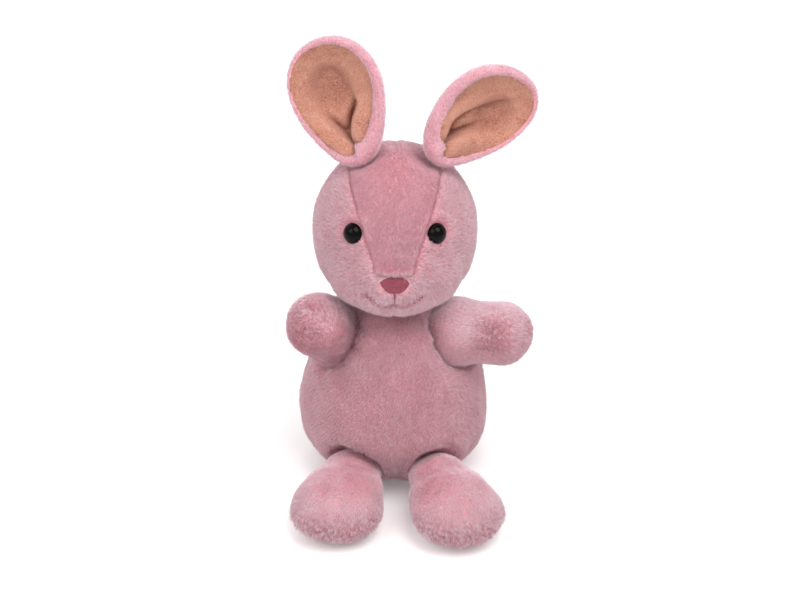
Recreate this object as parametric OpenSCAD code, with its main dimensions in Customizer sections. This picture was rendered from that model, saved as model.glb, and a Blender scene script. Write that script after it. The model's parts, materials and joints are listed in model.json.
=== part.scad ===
// Seated stuffed bunny rabbit: sewn plush covers over stuffing, with safety eyes and two folded ears.
// The toy faces -Y and sits on z = 0. Left is the -X side and right is the +X side, as seen from its front.
// Every limb ends in a ball that sits in a matching hollow, with a ring of gathered seam cloth between them.

/* [Cloth] */
// Thickness of a cover panel, backing cloth and pressed pile together
cover = 2; // [1.5:0.1:3]
// Clear space between a cover and the stuffing in it
slack = 0.3; // [0.2:0.05:0.4]
// Thickness of a ring of gathered seam cloth
seam_cloth = 1; // [0.8:0.1:1.2]

/* [Torso] */
// Radius of the belly at its widest
belly_r = 54.5; // [52:0.5:57]
// Height of the widest place
belly_z = 30; // [28:1:32]
// Radius of the rounding from the belly down to the seat
base_r = 30; // [28:1:32]
// Radius of the long curve up the side
side_r = 168; // [150:1:190]
// Height of the centre of the shoulder curve
shoulder_z = 66; // [62:1:70]
// Radius of the shoulder curve
shoulder_r = 51.5; // [51:0.5:53]
// Height of the centre that the head turns and nods about
neck_z = 84; // [82:0.5:86]
// Radius of the domed neck
neck_r = 38; // [37:0.5:39]

/* [Head] */
// Height of the centre of the head
head_z = 158; // [155:0.5:160]
// Radius of the head
head_r = 46; // [44:0.5:48]
// Radius of the muzzle
muzzle_r = 28; // [26:0.5:30]
// How much wider the muzzle is than it is deep
muzzle_wide = 1.28; // [1.1:0.01:1.35]
// How far the centre of the muzzle lies ahead of the head's
muzzle_forward = 26; // [24:0.5:28]
// How far it lies below the head's
muzzle_drop = 12; // [10:0.5:14]
// Width of the forehead gusset at the nose
gusset_low = 20; // [16:1:24]
// Width of the forehead gusset between the ears
gusset_high = 54; // [48:1:58]
// Height of the nose
nose_z = 148.5; // [148:0.5:152]
// Width of the nose
nose_w = 16; // [12:0.5:18]
// Height of the nose pad
nose_h = 11; // [8:0.5:12]
// Thickness of the stitched nose pad
nose_t = 1.8; // [1:0.1:2.5]
// Height of the lowest point of the smile
smile_z = 134.5; // [132:0.5:136]
// Radius of each half of the smile
smile_r = 12; // [10:0.5:14]
// Width of the mouth thread
thread_w = 1.2; // [0.8:0.1:1.6]

/* [Eyes] */
// Diameter of a safety eye
eye_d = 12; // [10:0.5:14]
// How far its dome stands out
eye_dome = 4.8; // [4:0.1:5.5]
// How far each eye is turned to its side, in degrees
eye_turn = 32.5; // [25:0.5:33]
// How far each eye looks up from level, in degrees
eye_rise = 18.5; // [15:0.5:22]
// Diameter of the eye's stem
stem_d = 4; // [3:0.5:5]
// Length of the stem behind the cover
stem_l = 13; // [10:0.5:16]
// Diameter of the locking washer
washer_d = 15; // [13:0.5:17]
// Thickness of the locking washer
washer_t = 1.6; // [1.2:0.1:2]

/* [Ears] */
// Distance from the middle of the head to the line that an ear leans about
ear_x = 20.5; // [18:0.5:23]
// Height of that line
ear_z = 201; // [199:0.5:202]
// Radius of the rolled root of an ear
ear_root_r = 6; // [5:0.5:7]
// Length of the rolled root, front to back
ear_root_l = 18; // [14:1:22]
// Radius of the round end of an ear
ear_tip_r = 24; // [22:0.5:26]
// Distance from the root to the centre of the round end
ear_reach = 51; // [46:0.5:54]
// Radius that an ear is cupped to
ear_cup_r = 36; // [32:1:44]
// Thickness of the plush back of an ear
ear_back_t = 4; // [3:0.5:5]
// Thickness of the lining
lining_t = 1.4; // [1:0.1:2]
// Width of the plush rim left round the lining
ear_rim = 4.5; // [3.5:0.5:6]
// Lean of the left ear from upright, in degrees
ear_lean_left = 15; // [7:1:60]
// Lean of the right ear from upright, in degrees
ear_lean_right = 49; // [7:1:60]

/* [Arms] */
// Distance from the middle of the torso to a shoulder's centre
shoulder_x = 36.5; // [36:0.5:38]
// How far the shoulder's centre lies ahead of the torso's
shoulder_forward = 14; // [12:0.5:15]
// Height of the shoulder's centre
arm_z = 95; // [93:0.5:96]
// Radius of the ball at the shoulder
arm_root_r = 20; // [19:0.5:21]
// Radius of the round end of the arm
arm_tip_r = 17.5; // [16.5:0.5:18]
// Distance between the two
arm_l = 25; // [23:0.5:27]
// Way the left arm is turned from pointing straight ahead, in degrees
arm_turn_left = -23; // [-30:1:-15]
// Rise of the left arm from level, in degrees
arm_rise_left = 38; // [30:1:42]
// Way the right arm is turned from pointing straight ahead, in degrees
arm_turn_right = 85; // [75:1:90]
// Rise of the right arm from level, in degrees
arm_rise_right = 1; // [-5:1:10]

/* [Legs] */
// Distance from the middle of the torso to a hip's centre
hip_x = 26; // [25:0.5:27]
// How far the hips' centres lie ahead of the torso's
hip_forward = 51.5; // [50:0.5:53]
// How much further ahead the right hip is sewn than that, and the left hip less
hip_uneven = 2.5; // [0:0.5:3]
// Radius of the ball at the hip
leg_root_r = 17.5; // [16.5:0.5:18]
// Height of the ball's centre
leg_root_z = 18.5; // [18:0.5:20]
// Distance from the hip to the centre of the round foot
leg_l = 30; // [28:0.5:34]
// Half the width of the foot
foot_r = 26; // [24:0.5:27]
// Half the thickness of the foot
foot_h = 16.5; // [15:0.5:18]
// Half the width of the leg halfway along
calf_r = 23; // [21:0.5:24]
// Height of the seam between the sole and the top of the leg
sole_z = 9; // [6:0.5:12]
// Way the left leg is turned from pointing straight ahead, in degrees
leg_turn_left = -14; // [-20:1:-6]
// Way the right leg is turned from pointing straight ahead, in degrees
leg_turn_right = 19; // [6:1:20]

/* [Tail] */
// Distance from the middle of the torso to the place that the tail is sewn to
tail_y = 52; // [51:0.5:53]
// Height of that place
tail_z = 26; // [24:0.5:30]
// Radius of the tail's root
tail_root_r = 9; // [8.5:0.5:10]
// Radius of the tail
tail_r = 12.5; // [11:0.5:14]

/* [Small pieces] */
// Number of closing stitches up the back
stitch_count = 9; // [5:1:11]
// Distance from one closing stitch to the next
stitch_pitch = 4; // [3:0.5:5]
// Width of the blank care label
label_w = 12; // [10:1:16]
// Length of the label outside the seam
label_l = 18; // [12:1:20]
// Thickness of the label
label_t = 0.5; // [0.3:0.1:0.8]

/* [Hidden] */
$fn = 96;
LEFT = -1;
RIGHT = 1;
far = 200;                                  // longer than any piece, for the cutting blocks
fine = 0.05;                                // clear space under something sewn flat on a cover
joint_gap = 0.3;                            // clear space each side of a ring of seam cloth
socket = seam_cloth + 2 * joint_gap;        // how much larger a hollow is than the ball in it
neck = [0, 0, neck_z];
head = [0, 0, head_z];
muzzle = [0, -muzzle_forward, head_z - muzzle_drop];
tail_root = [0, tail_y, tail_z];
tail_centre = tail_root + [0, tail_root_r + tail_r * 0.55, 2];
neck_ring = [29.5, 34.5];                   // each ring's lower and upper edge above its ball's centre
shoulder_ring = [-19, -15];
hip_ring = [-16.5, -13];
stitch_l = 5;                               // length of one closing stitch
nose_corner_r = 2.5;
washer_gap = 0.9;                           // clear space between a cover and the washer behind it
pile = "#d59aa8";
pile_light = "#dca5b2";
lining_colour = "#dda488";
thread_colour = "#a9576a";
fill_colour = "#f1eee8";

function shoulder(side) = [side * shoulder_x, -shoulder_forward, arm_z];
function arm_turn(side) = side == LEFT ? arm_turn_left : arm_turn_right;
function arm_rise(side) = side == LEFT ? arm_rise_left : arm_rise_right;
function hip(side) = [side * hip_x, -hip_forward - side * hip_uneven, leg_root_z];
function leg_turn(side) = side == LEFT ? leg_turn_left : leg_turn_right;
function ear_root(side) = [side * ear_x, 0, ear_z];
function ear_lean(side) = side == LEFT ? ear_lean_left : ear_lean_right;
function side_radius(z) = belly_r - side_r + sqrt(side_r * side_r - (z - belly_z) * (z - belly_z));

// Half of everything: the block on the positive side of a plane through the origin, facing dir
module half(dir) {
    translate(dir * far / 2) cube(far, center = true);
}

module ellipsoid(half_size) {
    scale([half_size.x / half_size.z, half_size.y / half_size.z, 1]) sphere(half_size.z);
}

// A band of seam cloth round a ball of radius r, between two heights above the ball's centre
module seam_ring(r, heights) {
    r_out = r + joint_gap + seam_cloth;
    difference() {
        intersection() {
            sphere(r_out);
            translate([0, 0, heights[0]]) cylinder(r = r_out + 1, h = heights[1] - heights[0]);
        }
        sphere(r + joint_gap);
    }
}

// ---- Torso ----

// Half of the torso's section, drawn smaller by inset
module torso_outline(inset) {
    intersection() {
        translate([belly_r - base_r, belly_z]) circle(base_r - inset);
        translate([belly_r - base_r, 0]) square([base_r, belly_z]);
    }
    translate([0, inset]) square([belly_r - base_r, belly_z - inset]);
    intersection() {
        translate([belly_r - side_r, belly_z]) circle(side_r - inset);
        translate([0, belly_z]) square([belly_r, shoulder_z - belly_z]);
    }
    intersection() {
        translate([belly_r - side_r, belly_z]) circle(side_r - inset);
        translate([0, shoulder_z]) circle(shoulder_r - inset);
        translate([0, shoulder_z]) square([belly_r, far]);
    }
    intersection() {
        translate([0, neck_z]) circle(neck_r - inset);
        translate([0, neck_z]) square([neck_r, neck_r]);
    }
}

// The hollows that the arms, legs and tail sit in
module torso_hollows() {
    for (side = [LEFT, RIGHT]) {
        translate(shoulder(side)) sphere(arm_root_r + socket);
        translate(hip(side)) sphere(leg_root_r + socket);
    }
    translate(tail_root) rotate([90, 0, 0]) sphere(tail_root_r + socket);
}

module torso_cover() {
    difference() {
        rotate_extrude() difference() {
            torso_outline(0);
            torso_outline(cover);
        }
        torso_hollows();
    }
}

module torso_front() {
    color(pile) intersection() {
        torso_cover();
        translate([-far / 2, -far, cover]) cube(far);
    }
}

module torso_back(side) {
    color(pile) intersection() {
        torso_cover();
        translate([side == LEFT ? -far : 0, 0, cover]) cube(far);
    }
}

module torso_seat() {
    color(pile_light) difference() {
        intersection() {
            rotate_extrude() torso_outline(0);
            cylinder(r = belly_r, h = cover);
        }
        torso_hollows();
    }
}

module torso_stuffing() {
    color(fill_colour) difference() {
        rotate_extrude() torso_outline(cover + slack);
        torso_hollows();
    }
}

module closing_stitches() {
    first_z = (belly_z + neck_z) / 2 - stitch_pitch * (stitch_count - 1) / 2;
    stitch_r = thread_w / 3;
    color(thread_colour) for (i = [0:stitch_count - 1]) {
        z = first_z + i * stitch_pitch;
        translate([-stitch_l / 2, side_radius(z) + stitch_r + fine, z]) rotate([0, 90, 0])
            cylinder(r = stitch_r, h = stitch_l);
    }
}

// A folded ribbon in the seat seam, between the left hip and the tail
module care_label() {
    seam_r = belly_r - base_r + sqrt(base_r * base_r - (belly_z - 2 * cover) * (belly_z - 2 * cover));
    color("white") rotate([0, 0, 135]) translate([seam_r + 1, -label_w / 2, cover])
        cube([label_l, label_w, label_t]);
}

// ---- Neck and head ----

module neck_seam() {
    color(pile) translate(neck) seam_ring(neck_r, neck_ring);
}

module head_shape(inset) {
    translate(head) sphere(head_r - inset);
    translate(muzzle) ellipsoid([muzzle_r * muzzle_wide - inset, muzzle_r - inset, muzzle_r - inset]);
}

// Places its children on an eye's axis, with z = 0 at the head's surface
module at_eye(side) {
    translate(head) rotate([0, 0, side * eye_turn]) rotate([90 - eye_rise, 0, 0]) translate([0, 0, head_r])
        children();
}

// The hollow for the neck, the grooves for the ears and the holes for the eyes' stems
module head_hollows() {
    translate(neck) sphere(neck_r + socket);
    for (side = [LEFT, RIGHT]) {
        translate(ear_root(side)) rotate([90, 0, 0])
            cylinder(r = ear_root_r + socket / 2, h = ear_root_l + socket, center = true);
        at_eye(side) translate([0, 0, -stem_l - cover]) cylinder(d = stem_d + 0.2, h = stem_l + 2 * cover);
    }
}

module head_cover() {
    difference() {
        head_shape(0);
        head_shape(cover);
        head_hollows();
    }
}

// A wedge that widens from the nose up to the ears and takes in the front of the head
module gusset_wedge() {
    low = nose_z + nose_h / 2;
    translate([0, 0, low]) rotate([90, 0, 0]) linear_extrude(far) polygon([
        [-gusset_low / 2, 0], [gusset_low / 2, 0],
        [gusset_high / 2, ear_z - low], [gusset_high / 2, far],
        [-gusset_high / 2, far], [-gusset_high / 2, ear_z - low],
    ]);
}

// Turns a right-hand piece into the left-hand one
module on_side(side) {
    mirror([side == LEFT ? 1 : 0, 0, 0]) children();
}

module face(side) {
    color(pile) on_side(side) difference() {
        intersection() {
            head_cover();
            translate([0, -far, 0]) cube([far, far, 2 * far]);
        }
        gusset_wedge();
    }
}

module forehead_gusset() {
    color(pile_light) intersection() {
        head_cover();
        gusset_wedge();
    }
}

module head_back(side) {
    color(pile) on_side(side) intersection() {
        head_cover();
        cube([far, far, 2 * far]);
    }
}

module head_stuffing() {
    color(fill_colour) difference() {
        head_shape(cover + slack);
        head_hollows();
        for (side = [LEFT, RIGHT])
            at_eye(side) translate([0, 0, -cover - 2 * washer_t]) cylinder(d = washer_d + 0.6, h = far);
    }
}

// The layer between fine and t above the muzzle's surface, where it faces forward
module on_muzzle(t) {
    intersection() {
        difference() {
            translate(muzzle) ellipsoid([muzzle_r * muzzle_wide + t, muzzle_r + t, muzzle_r + t]);
            translate(muzzle) ellipsoid([muzzle_r * muzzle_wide + fine, muzzle_r + fine, muzzle_r + fine]);
        }
        translate([0, muzzle.y, 0]) rotate([90, 0, 0]) linear_extrude(far) children();
    }
}

module nose_pad() {
    color(thread_colour) on_muzzle(nose_t) translate([0, nose_z]) hull() {
        for (side = [LEFT, RIGHT])
            translate([side * (nose_w / 2 - nose_corner_r), nose_h / 2 - nose_corner_r])
                circle(nose_corner_r, $fn = 24);
        translate([0, nose_corner_r - nose_h / 2]) circle(nose_corner_r, $fn = 24);
    }
}

// A short upright under the nose, and a shallow curve to each side of it
module mouth_stitch() {
    color(thread_colour) on_muzzle(thread_w / 2) {
        translate([-thread_w / 2, smile_z]) square([thread_w, nose_z - nose_h / 2 - smile_z - thread_w]);
        for (side = [LEFT, RIGHT]) intersection() {
            translate([side * smile_r * 0.75, smile_z + smile_r]) difference() {
                circle(smile_r);
                circle(smile_r - thread_w);
            }
            translate([side * smile_r * 0.75 - smile_r, smile_z - 1]) square([2 * smile_r, smile_r * 0.55]);
        }
    }
}

module eye(side) {
    dome_r = (eye_d * eye_d / 4 + eye_dome * eye_dome) / (2 * eye_dome);
    color("black") at_eye(side) {
        intersection() {
            translate([0, 0, eye_dome - dome_r + fine]) sphere(dome_r);
            translate([0, 0, fine]) cylinder(d = eye_d + 1, h = eye_dome);
        }
        translate([0, 0, -stem_l]) cylinder(d = stem_d, h = stem_l + 1);
    }
}

module eye_washer(side) {
    color("white") at_eye(side) translate([0, 0, -cover - washer_gap - washer_t]) difference() {
        cylinder(d = washer_d, h = washer_t);
        translate([0, 0, -1]) cylinder(d = stem_d + 0.1, h = washer_t + 2);
    }
}

// ---- Ears ----

// Places its children at the root of an ear, with +Z along the ear
module at_ear(side) {
    translate(ear_root(side)) rotate([0, side * ear_lean(side), 0]) children();
}

// Flat outline of an ear in x and z, drawn smaller by inset
module ear_outline(inset) {
    tip = ear_tip_r - inset;
    root = ear_root_r - 1 - inset / 3;
    translate([0, ear_reach]) circle(tip);
    polygon([[-root, 0], [root, 0], [tip, ear_reach], [-tip, ear_reach]]);
}

// The part of a cupped layer of cloth, between two radii, that an outline keeps
module ear_layer(inset, r_in, r_out, base) {
    intersection() {
        rotate([90, 0, 0]) translate([0, 0, -2 * ear_back_t]) linear_extrude(ear_cup_r) intersection() {
            ear_outline(inset);
            translate([-far / 2, base]) square(far);
        }
        translate([0, -ear_cup_r, base]) difference() {
            cylinder(r = r_out, h = far);
            translate([0, 0, -1]) cylinder(r = r_in, h = far + 2);
        }
    }
}

module ear_back(side) {
    color(pile) at_ear(side) {
        ear_layer(0, ear_cup_r, ear_cup_r + ear_back_t, 0);
        rotate([90, 0, 0]) cylinder(r = ear_root_r, h = ear_root_l, center = true);
    }
}

module ear_lining(side) {
    color(lining_colour) at_ear(side)
        ear_layer(ear_rim, ear_cup_r - lining_t, ear_cup_r - fine, ear_root_r + socket);
}

// ---- Arms ----

// Places its children at a shoulder, with +Z along the arm
module at_arm(side) {
    translate(shoulder(side)) rotate([0, 0, arm_turn(side)]) rotate([90 - arm_rise(side), 0, 0]) children();
}

module arm_shape(inset) {
    sphere(arm_root_r - inset);
    cylinder(r = arm_tip_r - inset, h = arm_l);
    translate([0, 0, arm_l]) sphere(arm_tip_r - inset);
}

module arm_cover() {
    difference() {
        arm_shape(0);
        arm_shape(cover);
    }
}

module arm_front(side) {
    color(pile_light) at_arm(side) intersection() {
        arm_cover();
        half([0, -1, 0]);
    }
}

module arm_back(side) {
    color(pile) at_arm(side) intersection() {
        arm_cover();
        half([0, 1, 0]);
    }
}

module arm_stuffing(side) {
    color(fill_colour) at_arm(side) arm_shape(cover + slack);
}

module shoulder_seam(side) {
    outward = atan2(side * shoulder_x, shoulder_forward);
    color(pile) translate(shoulder(side)) rotate([0, 0, outward]) rotate([90, 0, 0])
        seam_ring(arm_root_r, shoulder_ring);
}

// ---- Legs ----

// Places its children at a hip, with +X across the leg, -Y along it and z = 0 on the floor
module at_leg(side) {
    translate([hip(side).x, hip(side).y, 0]) rotate([0, 0, leg_turn(side)]) children();
}

module leg_shape(inset) {
    translate([0, 0, leg_root_z]) sphere(leg_root_r - inset);
    translate([0, -leg_l / 2, (leg_root_z + foot_h) / 2])
        ellipsoid([calf_r - inset, leg_l * 0.6 - inset, foot_h + 0.5 - inset]);
    translate([0, -leg_l, foot_h]) ellipsoid([foot_r - inset, foot_r - inset, foot_h - inset]);
}

module leg_cover() {
    difference() {
        leg_shape(0);
        leg_shape(cover);
    }
}

module leg_top(side) {
    color(pile_light) at_leg(side) intersection() {
        leg_cover();
        translate([0, 0, sole_z]) half([0, 0, 1]);
    }
}

module leg_sole(side) {
    color(pile) at_leg(side) intersection() {
        leg_cover();
        translate([0, 0, sole_z]) half([0, 0, -1]);
    }
}

module leg_stuffing(side) {
    color(fill_colour) at_leg(side) leg_shape(cover + slack);
}

module hip_seam(side) {
    outward = atan2(hip(side).x, -hip(side).y);
    color(pile) translate(hip(side)) rotate([0, 0, outward]) rotate([90, 0, 0]) seam_ring(leg_root_r, hip_ring);
}

// ---- Tail ----

module tail_shape(inset) {
    translate(tail_root) sphere(tail_root_r - inset);
    translate(tail_centre) sphere(tail_r - inset);
}

module tail_cover() {
    color(pile_light) difference() {
        tail_shape(0);
        tail_shape(cover);
    }
}

module tail_stuffing() {
    color(fill_colour) tail_shape(cover + slack);
}

torso_front();
torso_back(LEFT);  // torso_back_left
torso_back(RIGHT);  // torso_back_right
torso_seat();
torso_stuffing();
closing_stitches();
care_label();
neck_seam();
face(LEFT);  // face_left
face(RIGHT);  // face_right
forehead_gusset();
head_back(LEFT);  // head_back_left
head_back(RIGHT);  // head_back_right
head_stuffing();
nose_pad();
mouth_stitch();
eye(LEFT);  // eye_left
eye(RIGHT);  // eye_right
eye_washer(LEFT);  // eye_washer_left
eye_washer(RIGHT);  // eye_washer_right
ear_back(LEFT);  // ear_back_left
ear_back(RIGHT);  // ear_back_right
ear_lining(LEFT);  // ear_lining_left
ear_lining(RIGHT);  // ear_lining_right
shoulder_seam(LEFT);  // shoulder_seam_left
shoulder_seam(RIGHT);  // shoulder_seam_right
arm_front(LEFT);  // arm_front_left
arm_front(RIGHT);  // arm_front_right
arm_back(LEFT);  // arm_back_left
arm_back(RIGHT);  // arm_back_right
arm_stuffing(LEFT);  // arm_stuffing_left
arm_stuffing(RIGHT);  // arm_stuffing_right
hip_seam(LEFT);  // hip_seam_left
hip_seam(RIGHT);  // hip_seam_right
leg_top(LEFT);  // leg_top_left
leg_top(RIGHT);  // leg_top_right
leg_sole(LEFT);  // leg_sole_left
leg_sole(RIGHT);  // leg_sole_right
leg_stuffing(LEFT);  // leg_stuffing_left
leg_stuffing(RIGHT);  // leg_stuffing_right
tail_cover();
tail_stuffing();
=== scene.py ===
"""A stuffed bunny rabbit in short rose plush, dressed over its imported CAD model.

Every soft body gets a stuffed skin with its seams pulled in, and a pile of real strands that grows out of it.
Lengths are in metres. +X is the viewer's right, the face looks along -Y, +Z is up, and the seat is on z = 0.
"""
import json
import math

import bmesh
import bpy
import numpy as np
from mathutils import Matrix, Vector
from mathutils.bvhtree import BVHTree


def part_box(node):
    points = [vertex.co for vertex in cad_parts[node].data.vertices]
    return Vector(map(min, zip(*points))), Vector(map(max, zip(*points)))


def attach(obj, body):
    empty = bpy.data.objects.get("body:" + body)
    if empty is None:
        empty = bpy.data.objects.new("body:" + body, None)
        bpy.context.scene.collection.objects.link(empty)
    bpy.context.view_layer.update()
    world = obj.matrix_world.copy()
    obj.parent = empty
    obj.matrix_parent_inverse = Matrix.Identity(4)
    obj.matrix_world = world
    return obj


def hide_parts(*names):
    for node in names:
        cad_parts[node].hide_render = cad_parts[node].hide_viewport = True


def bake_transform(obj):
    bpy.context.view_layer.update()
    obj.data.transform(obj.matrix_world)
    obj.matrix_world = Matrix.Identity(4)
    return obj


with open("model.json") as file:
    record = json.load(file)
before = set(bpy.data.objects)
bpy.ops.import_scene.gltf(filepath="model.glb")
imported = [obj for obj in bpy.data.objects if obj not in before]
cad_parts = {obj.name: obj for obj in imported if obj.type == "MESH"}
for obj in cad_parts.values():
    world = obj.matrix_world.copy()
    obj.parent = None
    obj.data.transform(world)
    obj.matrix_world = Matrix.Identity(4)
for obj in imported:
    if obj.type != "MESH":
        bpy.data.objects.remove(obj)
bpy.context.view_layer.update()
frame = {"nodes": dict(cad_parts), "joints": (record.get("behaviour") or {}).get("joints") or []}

MM = 0.001
SIDES = {"left": -1, "right": 1}
joints = {j["name"]: j for j in frame["joints"]}
# The lowest that a skin or a strand may reach.
FLOOR_Z = 0.0002
CLOTH_FRAMES = 14
CLOTH_PRESSURE = 4

# --- Where things are, read from the frame ---


def place(joint):
    """The point a joint turns about."""
    return np.array(joints[joint]["pos_m"])


def middle(node):
    """The middle of a CAD node's box."""
    lo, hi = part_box(node)
    return np.array((lo + hi) / 2)


HEAD_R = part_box("face_right")[1].x
HEAD_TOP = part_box("head_back_right")[1].z
HEAD_C = np.array([0, 0, HEAD_TOP - HEAD_R])
GUSSET_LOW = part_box("forehead_gusset")[0].z
NOSE = middle("nose_pad")
NOSE_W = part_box("nose_pad")[1].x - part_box("nose_pad")[0].x
NOSE_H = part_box("nose_pad")[1].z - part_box("nose_pad")[0].z
EYES = {s: middle(f"eye_{s}") for s in SIDES}
NECK = place("head_turn")
SHOULDERS = {s: place(f"arm_swing_{s}") for s in SIDES}
HIPS = {s: place(f"leg_splay_{s}") for s in SIDES}
EARS = {s: place(f"ear_lean_{s}") for s in SIDES}
SOLE_SEAM_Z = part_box("leg_sole_left")[1].z
SEAT_SEAM_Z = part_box("torso_seat")[1].z
TAIL_ROOT = place("tail_wag")

# The forehead gusset's half-width, low and high, as it was cut.
GUSSET_HALF_LOW = 10 * MM
GUSSET_HALF_HIGH = 27 * MM
GUSSET_HIGH = HEAD_TOP - 3 * MM


def unit(v):
    """Vectors scaled to a length of 1."""
    v = np.asarray(v, float)
    return v / np.maximum(np.linalg.norm(v, axis=-1, keepdims=True), 1e-12)


def away(p, centre):
    """How far each point is from a centre."""
    return np.linalg.norm(p - np.asarray(centre), axis=-1)


def ramp(x, low, high):
    """0 below low, 1 above high, and smooth between."""
    t = np.clip((x - low) / (high - low), 0, 1)
    return t * t * (3 - 2 * t)


def dip(distance, width):
    """1 on a line, falling to 0 a little beyond width from it."""
    return np.exp(-((distance / width) ** 2))


def ripple(p, size, seed):
    """Smooth noise of about unit strength, whose lumps are about size across."""
    rng = np.random.default_rng(seed)
    turns = unit(rng.normal(size=(7, 3))) * (2 * math.pi / (size * rng.uniform(0.7, 1.5, (7, 1))))
    return np.sin(p @ turns.T + rng.uniform(0, 2 * math.pi, 7)).sum(axis=1) / math.sqrt(3.5)


def ripples(p, size, seed):
    """The same noise as a vector."""
    return np.stack([ripple(p, size, seed + i) for i in range(3)], axis=1)


# --- Meshes ---


def linked(name, data):
    """A new object in the scene, which holds this mesh, light or camera."""
    obj = bpy.data.objects.new(name, data)
    bpy.context.scene.collection.objects.link(obj)
    return obj


def mesh_object(name, verts, faces):
    """A new object from points and faces."""
    mesh = bpy.data.meshes.new(name)
    mesh.from_pydata([tuple(v) for v in verts], [], [tuple(f) for f in faces])
    mesh.validate()
    return linked(name, mesh)


def merged(name, meshes):
    """A new object from several meshes."""
    bm = bmesh.new()
    for mesh in meshes:
        bm.from_mesh(mesh)
    whole = bpy.data.meshes.new(name)
    bm.to_mesh(whole)
    bm.free()
    return linked(name, whole)


def quads(rows, columns, closed=False):
    """The faces of a grid of points, row by row. In a closed grid, each row's last point meets its first."""
    width = columns if closed else columns + 1
    return [
        (i * width + k, i * width + (k + 1) % width, (i + 1) * width + (k + 1) % width, (i + 1) * width + k)
        for i in range(rows)
        for k in range(columns)
    ]


def points_of(obj):
    """An object's vertices as an array."""
    co = np.empty(len(obj.data.vertices) * 3)
    obj.data.vertices.foreach_get("co", co)
    return co.reshape(-1, 3)


def normals_of(obj):
    """An object's vertex normals as an array."""
    out = np.empty(len(obj.data.vertices) * 3)
    obj.data.vertex_normals.foreach_get("vector", out)
    return out.reshape(-1, 3)


def move_points(obj, co):
    """Puts an object's vertices at these places."""
    obj.data.vertices.foreach_set("co", np.asarray(co, float).ravel())
    obj.data.update()


def bake_modifiers(obj):
    """Applies an object's modifiers to its mesh."""
    bpy.context.view_layer.update()
    shape = obj.evaluated_get(bpy.context.evaluated_depsgraph_get())
    mesh = bpy.data.meshes.new_from_object(shape)
    old = obj.data
    obj.modifiers.clear()
    obj.data = mesh
    mesh.name = old.name
    bpy.data.meshes.remove(old)
    return obj


def finished(obj, body, material):
    """Shades a piece smooth, gives it its material, and makes it ride on its body, if it has one."""
    obj.data.polygons.foreach_set("use_smooth", [True] * len(obj.data.polygons))
    obj.data.materials.append(material)
    if body:
        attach(obj, body)


def thickened(obj, thickness, offset=0):
    """A sheet made solid."""
    thick = obj.modifiers.new("thick", "SOLIDIFY")
    thick.thickness = thickness
    thick.offset = offset
    return bake_modifiers(obj)


def remeshed(obj, voxel, smoothing):
    """One even closed surface round everything in the object."""
    remesh = obj.modifiers.new("even", "REMESH")
    remesh.mode = "VOXEL"
    remesh.voxel_size = voxel
    soften = obj.modifiers.new("soften", "SMOOTH")
    soften.factor = 0.5
    soften.iterations = smoothing
    return bake_modifiers(obj)


def subdivided(obj, levels):
    """The object with each face split, and rounded."""
    finer = obj.modifiers.new("finer", "SUBSURF")
    finer.levels = levels
    finer.render_levels = levels
    return bake_modifiers(obj)


def moulded(name, nodes, voxel, smoothing=4):
    """One even skin over a body's soft CAD solids."""
    return remeshed(merged(name, [frame["nodes"][node].data for node in nodes]), voxel, smoothing)


def stuffed(obj, pinned, cap):
    """Blows the skin up as cloth with its seams held, so it swells between them, by at most cap."""
    before = points_of(obj)
    group = obj.vertex_groups.new(name="held")
    for i, weight in enumerate(np.clip(pinned(before), 0, 1)):
        group.add([i], float(weight), "REPLACE")
    cloth = obj.modifiers.new("cloth", "CLOTH")
    cloth.settings.quality = 6
    cloth.settings.mass = 0.2
    cloth.settings.tension_stiffness = 30
    cloth.settings.compression_stiffness = 30
    cloth.settings.bending_stiffness = 2
    cloth.settings.use_pressure = True
    cloth.settings.uniform_pressure_force = CLOTH_PRESSURE
    cloth.settings.vertex_group_mass = "held"
    cloth.settings.effector_weights.gravity = 0
    cloth.collision_settings.use_collision = False
    cloth.point_cache.frame_start = 1
    cloth.point_cache.frame_end = CLOTH_FRAMES
    for step in range(1, CLOTH_FRAMES + 1):
        bpy.context.scene.frame_set(step)
    bake_modifiers(obj)
    bpy.context.scene.frame_set(1)
    moved = points_of(obj) - before
    far = np.linalg.norm(moved, axis=1, keepdims=True)
    move_points(obj, before + moved * np.minimum(1, cap / np.maximum(far, 1e-9)))
def relieved(obj, relief):
    """Moves the skin in or out along its normals, by relief(points)."""
    co = points_of(obj)
    move_points(obj, co + normals_of(obj) * relief(co)[:, None])


def swollen(skin, pinned, cap, relief):
    """Stuffs a skin, splits its faces finer, and gives it its relief."""
    stuffed(skin, pinned, cap)
    subdivided(skin, 2)
    relieved(skin, relief)


def above_floor(obj):
    """Lifts whatever has sunk into the floor back on to it."""
    co = points_of(obj)
    co[:, 2] = np.maximum(co[:, 2], FLOOR_Z)
    move_points(obj, co)


def tube(name, path, radii, around):
    """A closed round tube along points, with a radius at each."""
    path = np.asarray(path, float)
    radii = np.broadcast_to(radii, len(path))
    along = unit(np.gradient(path, axis=0))
    side = unit(np.cross(along, [0.1, 0.2, 1.0]))
    up = np.cross(side, along)
    angles = np.linspace(0, 2 * math.pi, around, endpoint=False)
    rings = [
        c + r * (np.cos(angles)[:, None] * s + np.sin(angles)[:, None] * u)
        for c, r, s, u in zip(path, radii, side, up)
    ]
    verts = np.concatenate(rings + [path[:1], path[-1:]])
    n = len(path)
    faces = quads(n - 1, around, closed=True)
    faces += [(n * around, (j + 1) % around, j) for j in range(around)]
    last = (n - 1) * around
    faces += [(n * around + 1, last + j, last + (j + 1) % around) for j in range(around)]
    return mesh_object(name, verts, faces)


def joined(name, objects):
    """Several objects made one."""
    whole = merged(name, [obj.data for obj in objects])
    for obj in objects:
        bpy.data.objects.remove(obj)
    return whole


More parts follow.
